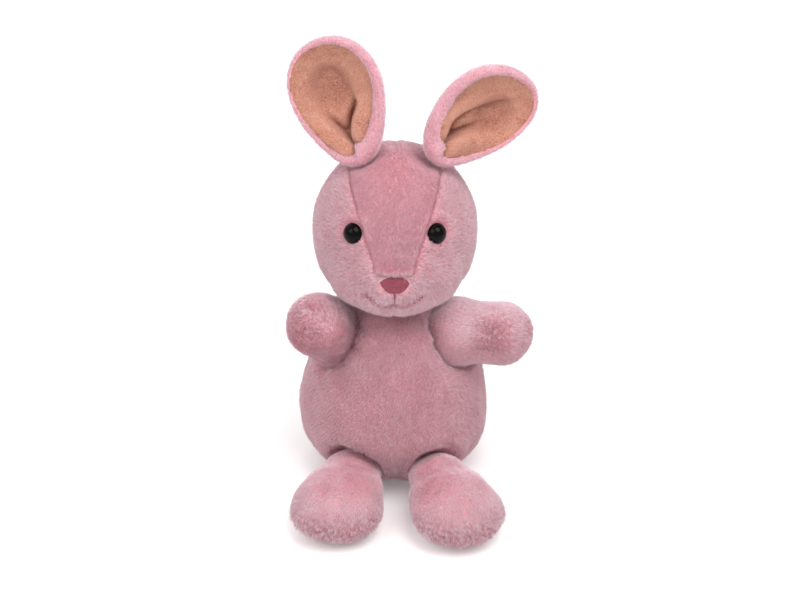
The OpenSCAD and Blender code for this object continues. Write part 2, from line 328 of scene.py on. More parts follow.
def tree_of(obj):
    """A tree that finds the nearest point on an object."""
    faces = [tuple(face.vertices) for face in obj.data.polygons]
    return BVHTree.FromPolygons([tuple(v) for v in points_of(obj)], faces)


def depth_in(p, tree):
    """Signed distance of each point from a closed surface, positive outside."""
    out = np.empty(len(p))
    for i, q in enumerate(p):
        near, normal, _, gap = tree.find_nearest(Vector(q))
        out[i] = gap if (Vector(q) - near).dot(normal) > 0 else -gap
    return out


# --- Materials ---


def linear(r, g, b):
    """A colour of 0 to 255 as the shader wants it."""
    return [((c / 255 + 0.055) / 1.055) ** 2.4 if c > 10 else c / 3294 for c in (r, g, b)] + [1]


ROSE_DEEP = np.array([206, 128, 142])
ROSE_PALE = np.array([254, 230, 238])
PEACH_DEEP = np.array([152, 64, 44])
PEACH_PALE = np.array([226, 180, 160])
TINTS = 7


def principled(name, colour, roughness, **sockets):
    """A new material and its shader, with plain values on its sockets."""
    material = bpy.data.materials.new(name)
    material.use_nodes = True
    material.diffuse_color = linear(*colour)
    shader = material.node_tree.nodes["Principled BSDF"]
    shader.inputs["Base Color"].default_value = linear(*colour)
    shader.inputs["Roughness"].default_value = roughness
    for socket, value in sockets.items():
        shader.inputs[socket.replace("_", " ")].default_value = value
    return material, shader


def texture(tree, kind, output, **sockets):
    """The output of a new texture node over the object's own coordinates."""
    node = tree.nodes.new(kind)
    for socket, value in sockets.items():
        node.inputs[socket].default_value = value
    where = tree.nodes.new("ShaderNodeTexCoord")
    tree.links.new(where.outputs["Object"], node.inputs["Vector"])
    return node, node.outputs[output]


def mixed(tree, factor, first, second):
    """A mix of two colours. The first may be another node's output."""
    mix = tree.nodes.new("ShaderNodeMix")
    mix.data_type = "RGBA"
    tree.links.new(factor, mix.inputs[0])
    if isinstance(first, bpy.types.NodeSocket):
        tree.links.new(first, mix.inputs[6])
    else:
        mix.inputs[6].default_value = first
    mix.inputs[7].default_value = second
    return mix.outputs[2]


def roughened(tree, shader, height, strength, distance):
    """Bumps a shader's surface by a height."""
    bump = tree.nodes.new("ShaderNodeBump")
    bump.inputs["Strength"].default_value = strength
    bump.inputs["Distance"].default_value = distance
    tree.links.new(height, bump.inputs["Height"])
    tree.links.new(bump.outputs["Normal"], shader.inputs["Normal"])


def grained(name, base, roughness, colours, sizes, bump, bump_size, **sockets):
    """A material mottled between colours by noise of these sizes, with a fine bump."""
    material, shader = principled(name, base, roughness, **sockets)
    tree = material.node_tree
    mottled = linear(*colours[0])
    for colour, size in zip(colours[1:], sizes):
        _, noise = texture(tree, "ShaderNodeTexNoise", "Fac", Scale=1 / size, Detail=3)
        spread = tree.nodes.new("ShaderNodeMapRange")
        spread.inputs["From Min"].default_value = 0.35
        spread.inputs["From Max"].default_value = 0.65
        tree.links.new(noise, spread.inputs["Value"])
        mottled = mixed(tree, spread.outputs["Result"], mottled, linear(*colour))
    tree.links.new(mottled, shader.inputs["Base Color"])
    _, fine = texture(tree, "ShaderNodeTexNoise", "Fac", Scale=1 / bump_size, Detail=4)
    roughened(tree, shader, fine, bump, bump_size)
    return material


def tints(name, deep, pale, sheen, sheen_colour):
    """A row of pile colours from deep to pale. Each strand takes one, which mottles the pile itself."""
    steps = [deep + (pale - deep) * (k / (TINTS - 1)) for k in range(TINTS)]
    sheen_tint = linear(*sheen_colour)
    return [
        principled(f"{name}_{k}", colour, 0.9, Sheen_Weight=sheen, Sheen_Roughness=0.45,
                   Sheen_Tint=sheen_tint, Specular_IOR_Level=0.2)[0]
        for k, colour in enumerate(steps)
    ]


def plush_backing():
    """The knitted backing under the rose pile, painted deep for the shade down among the strands."""
    return grained("plush_backing", ROSE_DEEP, 0.95, [(200, 122, 136), (226, 156, 168), (236, 172, 182)],
                   [6 * MM, 1.2 * MM], 0.6, 0.6 * MM, Sheen_Weight=0.3)


def peach_backing():
    """The backing under the short peach pile of the ear linings, painted deep for the shade among the strands.
    """
    return grained("peach_backing", PEACH_DEEP, 0.95, [(172, 96, 76), (196, 134, 112), (210, 160, 140)],
                   [7 * MM, 0.9 * MM], 0.5, 0.4 * MM, Sheen_Weight=0.4)


def seam_cloth():
    """The gathered cloth of the neck, shoulder and hip seams."""
    return grained("seam_cloth", (196, 120, 134), 0.95, [(204, 136, 149), (226, 164, 176)],
                   [1.5 * MM], 0.5, 0.5 * MM, Sheen_Weight=0.2)


def thread():
    """Twisted polyester sewing thread, rose."""
    return grained("thread", (150, 62, 80), 0.6, [(146, 60, 78), (178, 86, 104)],
                   [0.4 * MM], 0.4, 0.25 * MM, Sheen_Weight=0.3)


def nose_satin():
    """The nose's dense satin stitches."""
    return grained("nose_satin", (130, 54, 70), 0.7, [(120, 48, 64), (142, 62, 78), (130, 54, 70)],
                   [2.5 * MM, 0.5 * MM], 0.35, 0.3 * MM, Sheen_Weight=0.25, Sheen_Roughness=0.4)


def glossy_eye():
    """Moulded black plastic with a hard clear shine and the faintest brown."""
    return grained("glossy_eye", (4, 3, 4), 0.05, [(2, 2, 3), (12, 5, 5)],
                   [9 * MM], 0.02, 2 * MM, Specular_IOR_Level=0.10)


def washer_plastic():
    """The milky plastic of the lock washers."""
    return grained("washer_plastic", (226, 224, 218), 0.4, [(220, 218, 210), (236, 234, 230)],
                   [3 * MM], 0.08, 0.8 * MM)


def fibre_fill():
    """Matted polyester stuffing."""
    return grained("fibre_fill", (236, 234, 230), 0.98, [(214, 212, 208), (244, 243, 240), (232, 230, 226)],
                   [4 * MM, 0.8 * MM], 0.9, 0.8 * MM, Sheen_Weight=0.5)


def woven_label():
    """The blank white woven care label."""
    material, shader = principled("woven_label", (236, 234, 228), 0.7, Sheen_Weight=0.2)
    tree = material.node_tree
    wave, weave = texture(tree, "ShaderNodeTexWave", "Fac", Scale=900, Distortion=0.6)
    wave.wave_type = "BANDS"
    wave.bands_direction = "DIAGONAL"
    tint = mixed(tree, weave, linear(224, 221, 214), linear(246, 244, 240))
    tree.links.new(tint, shader.inputs["Base Color"])
    roughened(tree, shader, weave, 0.3, 0.1 * MM)
    return material


# --- The pile ---

STRANDS_A_PIECE = 48000
DENSITY = 5.0 / (MM * MM)
STRAND_R = 0.15 * MM
STRAND_ROOT_DEPTH = 0.25 * MM


def sown(skin, density, rng):
    """Roots spread evenly over a skin: their places and the skin's normals there."""
    mesh = skin.data
    mesh.calc_loop_triangles()
    corners = np.empty(len(mesh.loop_triangles) * 3, int)
    mesh.loop_triangles.foreach_get("vertices", corners)
    corners = corners.reshape(-1, 3)
    co, no = points_of(skin), normals_of(skin)
    a, b, c = (co[corners[:, k]] for k in range(3))
    area = np.linalg.norm(np.cross(b - a, c - a), axis=1) / 2
    total = area.cumsum()
    count = int(total[-1] * density)
    picks = np.searchsorted(total, (np.arange(count) + rng.random(count)) / count * total[-1])
    picks = np.minimum(picks, len(area) - 1)
    u, v = rng.random((2, count, 1))
    flip = (u + v > 1).ravel()
    u[flip], v[flip] = 1 - u[flip], 1 - v[flip]
    w = 1 - u - v
    spots = a[picks] * w + b[picks] * u + c[picks] * v
    lean_on = no[corners[picks, 0]] * w + no[corners[picks, 1]] * u + no[corners[picks, 2]] * v
    return spots, unit(lean_on)


def pile(name, skin, body, look, palette, seed, density=DENSITY, radius=STRAND_R, blend=None):
    """Grows a skin's pile as fine tapered strands.

    look(roots, normals) gives for each root: the chance that it grows, its length, how far it leans from
    upright in radians, which way its nap runs, its shade (0 is deep and 1 is pale), and how ruffled it is, from
    0 to 1.
    """
    rng = np.random.default_rng(seed)
    roots, normals = sown(skin, density, rng)
    chance, length, lean, nap, shade, ruffle = look(roots, normals)
    grows = rng.random(len(roots)) < chance
    roots, normals, nap = roots[grows], normals[grows], nap[grows]
    traits = (length, lean, shade, ruffle)
    length, lean, shade, ruffle = (np.broadcast_to(trait, grows.shape)[grows] for trait in traits)
    count = len(roots)
    tufts = ruffle[:, None]
    nap = nap + (0.05 + 0.20 * tufts) * ripples(roots, 9 * MM, seed + 11)
    nap = nap + (0.04 + 0.60 * tufts) * ripples(roots, 2.2 * MM, seed + 21)
    nap = nap + (0.10 + 0.40 * tufts) * rng.normal(size=(count, 3))
    nap = unit(nap - normals * (nap * normals).sum(axis=1, keepdims=True))
    lean = lean + (0.02 + 0.20 * ruffle) * ripple(roots, 2.6 * MM, seed + 31)
    lean = lean + rng.normal(0, 0.07, count)
    grown = unit(normals * np.cos(lean)[:, None] + nap * np.sin(lean)[:, None])
    growth = 1 + 0.06 * ripple(roots, 4 * MM, seed + 41) + rng.normal(0, 0.12, count)
    length = length * growth.clip(0.4, 1.6)
    tips = roots + grown * length[:, None]
    tips[:, 2] = np.maximum(tips[:, 2], FLOOR_Z)
    side = unit(np.cross(grown, normals) + 1e-9)
    other = np.cross(grown, side)
    spin = rng.uniform(0, 2 * math.pi, count)
    width = radius * rng.uniform(0.75, 1.25, count)
    corners = np.empty((count, 4, 3))
    for k in range(3):
        angle = spin + k * 2 * math.pi / 3
        ring = np.cos(angle)[:, None] * side + np.sin(angle)[:, None] * other
        corners[:, k] = roots - normals * STRAND_ROOT_DEPTH + ring * width[:, None]
    corners[:, 3] = tips
    corners[:, :, 2] = np.maximum(corners[:, :, 2], FLOOR_Z)
    shade = shade + 0.03 * ripple(roots, 16 * MM, seed + 51)
    shade = shade + 0.24 * ruffle * ripple(roots, 1.3 * MM, seed + 61)
    shade = shade + (0.06 + 0.27 * ruffle) * rng.normal(size=count)
    tint = np.clip(np.round(shade * (TINTS - 1)), 0, TINTS - 1).astype(int)
    shape = np.array([[0, 1, 3], [1, 2, 3], [2, 0, 3], [2, 1, 0]])
    shares = max(1, math.ceil(count / STRANDS_A_PIECE))
    for share in range(shares):
        mine = np.arange(share, count, shares)
        piece_name = f"{name}_{share + 1}" if shares > 1 else name
        piece = strand_mesh(piece_name, corners[mine], shape, tint[mine], palette)
        if blend:
            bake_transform(piece)
        else:
            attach(piece, body)


def strand_mesh(name, corners, shape, tint, palette):
    """One mesh of many strands, four corners each."""
    count = len(corners)
    faces = (shape[None] + 4 * np.arange(count)[:, None, None]).reshape(-1)
    mesh = bpy.data.meshes.new(name)
    mesh.vertices.add(count * 4)
    mesh.vertices.foreach_set("co", corners.ravel())
    mesh.loops.add(len(faces))
    mesh.loops.foreach_set("vertex_index", faces.astype(np.int32))
    mesh.polygons.add(count * 4)
    mesh.polygons.foreach_set("loop_start", np.arange(0, len(faces), 3, dtype=np.int32))
    for material in palette:
        mesh.materials.append(material)
    mesh.polygons.foreach_set("material_index", np.repeat(tint, 4).astype(np.int32))
    mesh.polygons.foreach_set("use_smooth", np.ones(count * 4, bool))
    mesh.update()
    return linked(name, mesh)


def cover(skin, body, nodes):
    """Makes a skin its body's plush cover, in place of these CAD nodes."""
    finished(skin, body, BACKING)
    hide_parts(*nodes)


# --- The head ---

HEAD_NODES = ["face_left", "face_right", "forehead_gusset", "head_back_left", "head_back_right"]
EYE_BARE_R = 5.7 * MM
NECK_HOLLOW_R = 41 * MM


def gusset_edge(z):
    """Half the forehead gusset's width at a height."""
    t = (z - GUSSET_LOW) / (GUSSET_HIGH - GUSSET_LOW)
    t = np.clip(t, 0, 1)
    return GUSSET_HALF_LOW + (GUSSET_HALF_HIGH - GUSSET_HALF_LOW) * t


def head_seams(p):
    """Distance to the nearest head seam, for every point."""
    x, y, z = p.T
    front = y < 2 * MM
    above = z > GUSSET_LOW
    edge = np.where(front & above, np.abs(np.abs(x) - gusset_edge(z)), 1)
    hem = np.where(front & (np.abs(x) < GUSSET_HALF_LOW + MM), np.abs(z - GUSSET_LOW), 1)
    chin = np.where(front & (z < NOSE[2]), np.abs(x), 1)
    sides = np.where(~front | (np.abs(x) > gusset_edge(z)), np.abs(y), 1)
    back = np.where(y > 0, np.abs(x), 1)
    return edge, hem, chin, sides, back


SMILE_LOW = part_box("mouth_stitch")[0].z + 0.6 * MM
SMILE_HIGH = SMILE_LOW + 6.2 * MM
SMILE_HALF = 17 * MM


def smile(x):
    """Height of the mouth's curves at a distance from the middle."""
    return SMILE_LOW + (SMILE_HIGH - SMILE_LOW) * ramp(np.abs(x), 6 * MM, SMILE_HALF)


def head_relief(p):
    """How far the head's skin stands out of its even shape."""
    x, y, z = p.T
    edge, hem, chin, sides, back = head_seams(p)
    out = -1.1 * MM * dip(edge, 1.2 * MM) - 0.9 * MM * dip(hem, 1.1 * MM) - 0.6 * MM * dip(chin, 1.2 * MM)
    out -= 0.7 * MM * dip(sides, 1.3 * MM) + 0.7 * MM * dip(back, 1.3 * MM)
    front = y < 0
    out += 2.6 * MM * ramp(z, HEAD_C[2] + 18 * MM, HEAD_TOP) + 0.9 * MM * ramp(np.abs(x), 30 * MM, HEAD_R)
    jowl = dip(z - (HEAD_C[2] - 26 * MM), 12 * MM) * ramp(np.abs(x), 18 * MM, 34 * MM)
    out += 2.8 * MM * jowl
    within = front & (np.abs(x) < gusset_edge(z))
    folds = np.where(within, dip(np.abs(x), 13 * MM), 0)
    for height, swell in ((2.6, 1.6), (10, 0.6), (18, 0.45)):
        out += folds * swell * MM * dip(z - GUSSET_LOW - height * MM, 2.0 * MM)
    for eye in EYES.values():
        out += 1.2 * MM * dip(away(p, eye) - 9.5 * MM, 3.0 * MM) - 1.8 * MM * dip(away(p, eye), 5.5 * MM)
    for side in SIDES.values():
        cheek = np.array([side * 9.5 * MM, NOSE[1] + 4 * MM, NOSE[2] - 8 * MM])
        out += 1.2 * MM * dip(away(p, cheek), 8 * MM)
    mouth = front & (np.abs(x) < SMILE_HALF + MM) & (z < NOSE[2])
    out -= np.where(mouth, 2.2 * MM * dip(z - smile(x), 1.3 * MM), 0)
    return out * ramp(away(p, NECK), NECK_HOLLOW_R - MM, NECK_HOLLOW_R + 3 * MM)


def head_look(p, n):
    """The pile of the head: sleek down the gusset, brushed away from the nose over the cheeks."""
    x, y, z = p.T
    edge, hem, chin, sides, back = head_seams(p)
    seam = np.maximum.reduce([dip(edge, 1.0 * MM), dip(hem, 1.0 * MM), 0.7 * dip(sides, 1.0 * MM),
                              0.7 * dip(back, 1.0 * MM), 0.4 * dip(chin, 1.0 * MM)])
    front = y < 0
    gusset = front & (np.abs(x) < gusset_edge(z)) & (z > GUSSET_LOW)
    muzzle = np.where(front, dip(away(p, NOSE), 20 * MM), 0)
    down = np.array([0, 0, -1.0])
    outward = unit(p - (NOSE + np.array([0, 0, 6 * MM])))
    nap = np.where(gusset[:, None], down, np.where(front[:, None], unit(outward + 0.35 * down), down))
    eyes = np.minimum(away(p, EYES["left"]), away(p, EYES["right"]))
    length = np.where(gusset, 2.4 * MM, 2.7 * MM) + 0.6 * MM * muzzle
    length *= 1 - 0.45 * seam
    length *= 0.60 + 0.40 * ramp(eyes, EYE_BARE_R, EYE_BARE_R + 5 * MM)
    # Painted shade: the pile darkens in a ring round each eye, where the sockets lie in shadow.
    painted_shade_round_eyes = 0.30 * dip(eyes - EYE_BARE_R, 1.6 * MM)
    lean = np.where(gusset, 1.02, 0.92)
    shade = 0.60 + np.where(gusset, -0.10, 0.20 * muzzle) - 0.40 * seam - painted_shade_round_eyes
    chance = np.ones(len(p))
    chance[eyes < EYE_BARE_R] = 0
    pad = ((x / (NOSE_W / 2 + 0.3 * MM)) ** 2 + ((z - NOSE[2]) / (NOSE_H / 2)) ** 2 < 1) & (y < -45 * MM)
    chance[pad] = 0
    chance[away(p, NECK) < NECK_HOLLOW_R] = 0
    # Painted highlight along the hem's ridge, and painted shade in the crease just above it.
    hem_ridge = np.where(gusset, dip(z - GUSSET_LOW - 1.8 * MM, 1.2 * MM), 0)
    hem_crease_shade = np.where(gusset, dip(z - GUSSET_LOW - 4.4 * MM, 0.8 * MM) * dip(x, 8 * MM), 0)
    shade = shade + 0.30 * hem_ridge - 0.30 * hem_crease_shade
    ruffle = np.where(gusset, 0.0, 0.34 + 0.3 * muzzle) + 0.15 * seam + 0.6 * hem_ridge
    mouth = front & (np.abs(x) < SMILE_HALF) & (z < NOSE[2] - 3 * MM)
    # Painted shade: the pile darkens along the smile's groove.
    shade = shade - np.where(mouth, 0.5 * dip(z - smile(x) - 0.4 * MM, 1.1 * MM), 0)
    length *= 1 - np.where(mouth, 0.55 * dip(z - smile(x) - 0.4 * MM, 1.2 * MM), 0)
    thread_gap = front & (z > SMILE_LOW) & (z < NOSE[2] - 3 * MM)
    length *= 1 - np.where(thread_gap, 0.6 * dip(x, 1.0 * MM), 0)
    return chance, length, lean, nap, shade, ruffle


def build_head():
    """The head's skin and pile, without the ears."""
    skin = moulded("head_skin", HEAD_NODES + ["head_stuffing"], 4 * MM)

    def held(p):
        edge, hem, chin, sides, back = head_seams(p)
        seams = np.maximum.reduce([dip(d, 2.5 * MM) for d in (edge, hem, chin, sides, back)])
        sockets = np.maximum(dip(away(p, EYES["left"]), 9 * MM), dip(away(p, EYES["right"]), 9 * MM))
        return np.maximum.reduce([seams, sockets, (away(p, NECK) < NECK_HOLLOW_R + 2 * MM) * 1.0])

    swollen(skin, held, 1.2 * MM, head_relief)
    cover(skin, "head", HEAD_NODES)
    pile("head_pile", skin, "head", head_look, ROSE, 100)
    return skin


def build_nose(head):
    """The nose: rows of satin stitches laid side by side over a rounded triangle."""
    tree = tree_of(head)
    columns, rows = 112, 30
    half_w, half_h = NOSE_W / 2 + 0.2 * MM, NOSE_H / 2
    verts = []
    for i in range(columns + 1):
        t = 2 * i / columns - 1
        x = t * half_w
        top = NOSE[2] + half_h * (0.86 - 0.42 * abs(t) ** 2.6)
        low = NOSE[2] - half_h * (0.98 * (1 - abs(t) ** 1.9) ** 0.62 - 0.30 * abs(t) ** 3)
        stitch = 0.10 * MM * math.cos(t * math.pi * 17)
        for k in range(rows + 1):
            s = 2 * k / rows - 1
            z = (top + low) / 2 + s * (top - low) / 2
            dome = max(0.0, 1 - abs(s) ** 4) ** 0.5 * max(0.0, 1 - abs(t) ** 5) ** 0.5
            hit = tree.ray_cast(Vector((x, -0.1, z)), Vector((0, 1, 0)))[0]
            y = (hit.y if hit else NOSE[1]) + 0.5 * MM - dome * (2.1 * MM + stitch)
            verts.append((x, y, z))
    faces = [(a, d, c, b) for a, b, c, d in quads(columns, rows)]
    nose = thickened(mesh_object("nose_stitched_pad", verts, faces), 1.0 * MM, -1)
    finished(nose, "head", nose_satin())
    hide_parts("nose_pad")


def on_skin(tree, x, z, lift):
    """The point of the head's front at x and z, lifted off it."""
    hit = tree.ray_cast(Vector((x, -0.1, z)), Vector((0, 1, 0)))
    return np.array(hit[0]) + np.array(hit[1]) * lift


def twisted(name, path, radius, pitch):
    """A two-ply thread along a path."""
    path = np.asarray(path)
    steps = np.linalg.norm(np.diff(path, axis=0), axis=1)
    run = np.concatenate([[0], steps.cumsum()])
    count = max(12, int(run[-1] / pitch * 10))
    at = np.linspace(0, run[-1], count)
    line = np.stack([np.interp(at, run, path[:, k]) for k in range(3)], axis=1)
    along = unit(np.gradient(line, axis=0))
    side = unit(np.cross(along, [0.05, 1.0, 0.1]))
    up = np.cross(side, along)
    turn = (at / pitch * 2 * math.pi)[:, None]
    plies = []
    for k in range(2):
        swing = np.cos(turn + k * math.pi) * side + np.sin(turn + k * math.pi) * up
        plies.append(tube(f"{name}_{k}", line + swing * radius * 0.5, radius * 0.56, 7))
    return joined(name, plies)


def build_mouth(head):
    """The mouth: one upright thread under the nose and a shallow curve to each side."""
    tree = tree_of(head)
    upright = [on_skin(tree, 0, z, 0.5 * MM) for z in np.linspace(NOSE[2] - NOSE_H / 2, SMILE_LOW + MM, 12)]
    pieces = [twisted("upright", upright, 0.55 * MM, 1.8 * MM)]
    for side in SIDES.values():
        spread = np.linspace(0.5 * MM, SMILE_HALF, 24)
        curve = [on_skin(tree, side * x, smile(x), 2.8 * MM) for x in spread]
        pieces.append(twisted(f"smile_{side}", curve, 0.27 * MM, 1.2 * MM))
    mouth = joined("mouth_threads", pieces)
    finished(mouth, "head", THREAD)
    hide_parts("mouth_stitch")


# --- The torso, limbs and tail ---

TORSO_NODES = ["torso_front", "torso_back_left", "torso_back_right", "torso_seat"]
SHOULDER_HOLLOW_R = 21.8 * MM
HIP_HOLLOW_R = 19.3 * MM
TAIL_HOLLOW_R = 9.5 * MM
HEAD_CLEAR_R = HEAD_R + 1 * MM

# The torso's hollows for the arms and legs: whose each is, its centre, and its radius.
HOLLOWS = [("arm", side, SHOULDERS[side], SHOULDER_HOLLOW_R) for side in SIDES]
HOLLOWS += [("leg", side, HIPS[side], HIP_HOLLOW_R) for side in SIDES]


def torso_seams(p):
    """Distance to each torso seam."""
    x, y, z = p.T
    sides = np.abs(y)
    back = np.where(y > 0, np.abs(x), 1)
    seat = np.abs(z - SEAT_SEAM_Z)
    return sides, back, seat


def torso_relief(p):
    """Seams pulled in, gathers over the legs, and a soft hang to the belly."""
    x, y, z = p.T
    sides, back, _ = torso_seams(p)
    out = -0.8 * MM * dip(sides, 1.6 * MM) - 0.9 * MM * dip(back, 1.3 * MM)
    crotch = np.array([0, -46 * MM, 8 * MM])
    out -= 5.5 * MM * dip(away(p, crotch), 17 * MM)
    angle = np.arctan2(x, z - crotch[2])
    out += 0.55 * MM * np.cos(angle * 14) * np.where(y < 0, dip(away(p, crotch) - 14 * MM, 9 * MM), 0)
    for shoulder in SHOULDERS.values():
        spin = np.arctan2(p[:, 2] - shoulder[2], p[:, 1] - shoulder[1])
        out += 0.5 * MM * np.cos(spin * 11) * dip(away(p, shoulder) - 24 * MM, 5 * MM)
    flank = dip(z - 42 * MM, 24 * MM)
    out += flank * (2.8 * MM * ramp(-x, 25 * MM, 50 * MM) + 0.6 * MM * ramp(x, 25 * MM, 50 * MM))
    out -= 2.2 * MM * ramp(np.abs(x), 25 * MM, 45 * MM) * (1 - ramp(z, 6 * MM, 26 * MM))
    for hip in HIPS.values():
        brim = (p - hip) * np.array([1, 1.4, 1]) - np.array([0, 0, 18 * MM])
        out += 3.6 * MM * dip(np.linalg.norm(brim, axis=1), 15 * MM) * ramp(z, 24 * MM, 34 * MM)
    out += 0.35 * MM * ripple(p, 22 * MM, 5)
    for _, _, centre, radius in HOLLOWS:
        out *= ramp(away(p, centre), radius, radius + 2 * MM)
    return out


def torso_look(p, n):
    """The torso's pile: standing nearly upright over the belly, brushed down everywhere else."""
    _, y, z = p.T
    sides, back, seat = torso_seams(p)
    seam = np.maximum.reduce([dip(sides, 1.1 * MM), dip(back, 1.1 * MM), 0.6 * dip(seat, 1.2 * MM)])
    belly = np.where(y < 0, ramp(-y, 10 * MM, 45 * MM) * (1 - ramp(z, 75 * MM, 100 * MM)), 0)
    length = (2.6 - 0.3 * belly) * MM * (1 - 0.45 * seam)
    lean = 0.95 - 0.55 * belly
    nap = np.broadcast_to(np.array([0, 0, -1.0]), p.shape)
    nap = np.where((n[:, 2] < -0.9)[:, None], unit(p * np.array([1, 1, 0]) + 1e-6), nap)
    shade = 0.56 - 0.35 * seam + 0.06 * belly
    chance = np.ones(len(p))
    bare = [(HEAD_C, HEAD_CLEAR_R), (TAIL_ROOT, TAIL_HOLLOW_R)] + [hollow[2:] for hollow in HOLLOWS]
    for centre, radius in bare:
        chance[away(p, centre) < radius] = 0
    chance[z < 1.0 * MM] = 0.5
    for kind, side, centre, radius in HOLLOWS:
        _, along = limb_frame(kind, side)
        edge = np.where((p - centre) @ along > 0, dip(away(p, centre) - radius, 5 * MM), 0)
        nap = nap + 1.5 * edge[:, None] * along
        length = length * (1 + 0.35 * edge)
        # Painted shade: the torso's pile darkens where it meets each arm and leg.
        shade = shade - 0.10 * edge
    return chance, length, lean, nap, shade, 0.20 + 0.25 * belly


def build_torso():
    """The torso's skin and pile."""
    skin = moulded("torso_skin", TORSO_NODES + ["torso_stuffing"], 4 * MM)

    def held(p):
        sides, back, _ = torso_seams(p)
        seams = np.maximum.reduce([dip(sides, 2.5 * MM), dip(back, 2.5 * MM), (p[:, 2] < 4 * MM) * 1.0])
        rims = [1 - ramp(away(p, centre), r + 2 * MM, r + 7 * MM) for _, _, centre, r in HOLLOWS]
        top = 1 - ramp(away(p, HEAD_C), HEAD_R + 2 * MM, HEAD_R + 8 * MM)
        return np.maximum.reduce([seams, top, *rims])

    swollen(skin, held, 1.2 * MM, torso_relief)
    above_floor(skin)
    cover(skin, "torso", TORSO_NODES + ["torso_stuffing"])
    pile("torso_pile", skin, "torso", torso_look, ROSE, 200)
    return skin


def off_torso(p, tree, root, reach):
    """How far each point of a limb lies off the torso's skin, looked up only within reach of the root."""
    gap = np.full(len(p), 1.0)
    close = away(p, root) < reach
    gap[close] = depth_in(p[close], tree)
    return gap


ARM_RISE = {"left": math.radians(38), "right": math.radians(1)}
ARM_REACH = 25 * MM
ARM_R = 17.5 * MM
FOOT_REACH = 30 * MM
JOINT_REACH = 26 * MM
LEG_SAG = 4.5 * MM


def limb_frame(kind, side):
    """A limb's root, and the direction it points in, from its own box."""
    root = SHOULDERS[side] if kind == "arm" else HIPS[side]
    lift = np.array(joints[f"{kind}_lift_{side}"]["axis"])
    level = unit(np.cross(lift, [0, 0, 1.0]))
    if (middle(f"{kind}_stuffing_{side}") - root) @ level < 0:
        level = -level
    if kind == "leg":
        return root, level
    rise = ARM_RISE[side]
    return root, level * math.cos(rise) + np.array([0, 0, 1]) * math.sin(rise)


def near_torso(p, tree, root, length, lean):
    """Where a limb's pile may grow, and its length and lean, which change where the limb meets the torso."""
    gap = off_torso(p, tree, root, JOINT_REACH)
    joint = 1 - ramp(gap, 1.0 * MM, 4.0 * MM)
    return gap > 0.9 * MM, length * (1 + 0.25 * joint), lean - 0.45 * joint


def across_arm_seam(along):
    """The direction square to the plane in which an arm's seam runs."""
    return unit(np.cross(along, np.cross([0, 0, 1.0], along)))


def arm_look_for(side, torso_tree):
    """The look of one arm's pile."""
    root, along = limb_frame("arm", side)
    tip = root + along * (ARM_REACH + ARM_R)
    spot = {"left": tip, "right": root + along * (ARM_REACH - 4 * MM) + ARM_R * unit([0, -0.88, 0.47])}[side]
    seam_normal = across_arm_seam(along)

    def look(p, n):
        rel = p - root
        run = rel @ along
        seam = dip(np.abs(rel @ seam_normal), 0.9 * MM) * ramp(run, 5 * MM, 12 * MM)
        palm = np.maximum(dip(away(p, tip), 12 * MM), dip(away(p, spot), 10 * MM))
        spiral = np.cross(along, rel)
        nap = along + 1.1 * palm[:, None] * unit(spiral)
        length = 2.6 * MM * (1 - 0.15 * seam) * (1 + 0.20 * palm)
        lean = 0.95 - 0.35 * palm
        # Painted light: the pile on the arm's upward faces is paler, as if lit from above.
        shade = 0.62 + 0.26 * ramp(n[:, 2], 0.0, 0.7) - 0.08 * seam
        shade = shade + palm * (0.26 * ripple(p, 3 * MM, 77) - 0.36)
        chance, length, lean = near_torso(p, torso_tree, root, length, lean)
        return chance, length, lean, nap, shade, 0.15 + 0.85 * palm

    return look


def build_arm(side, torso_tree):
    """One arm's skin and pile."""
    root, along = limb_frame("arm", side)
    nodes = [f"arm_front_{side}", f"arm_back_{side}"]
    skin = moulded(f"arm_skin_{side}", nodes + [f"arm_stuffing_{side}"], 3 * MM)
    seam_normal = across_arm_seam(along)

    def held(p):
        seam = 0.3 * dip(np.abs((p - root) @ seam_normal), 2 * MM)
        return np.maximum(seam, 1 - ramp(away(p, root), 20 * MM, 25 * MM))

    def relief(p):
        rel = p - root
        run = rel @ along
        out = -0.25 * MM * dip(np.abs(rel @ seam_normal), 1.3 * MM) * ramp(run, 5 * MM, 12 * MM)
        spin = np.arctan2(rel @ unit(np.cross(along, [0, 0, 1.0])), rel @ seam_normal)
        out += 0.55 * MM * np.cos(spin * 9 + 1) * dip(run - 17 * MM, 6 * MM)
        out += 1.0 * MM * ramp(run, ARM_REACH - 5 * MM, ARM_REACH + 8 * MM)
        return out + 0.25 * MM * ripple(p, 14 * MM, 9)

    swollen(skin, held, 1.0 * MM, relief)
    cover(skin, f"arm_{side}", nodes)
    look = arm_look_for(side, torso_tree)
    pile(f"arm_pile_{side}", skin, f"arm_{side}", look, ROSE, 300 + SIDES[side])


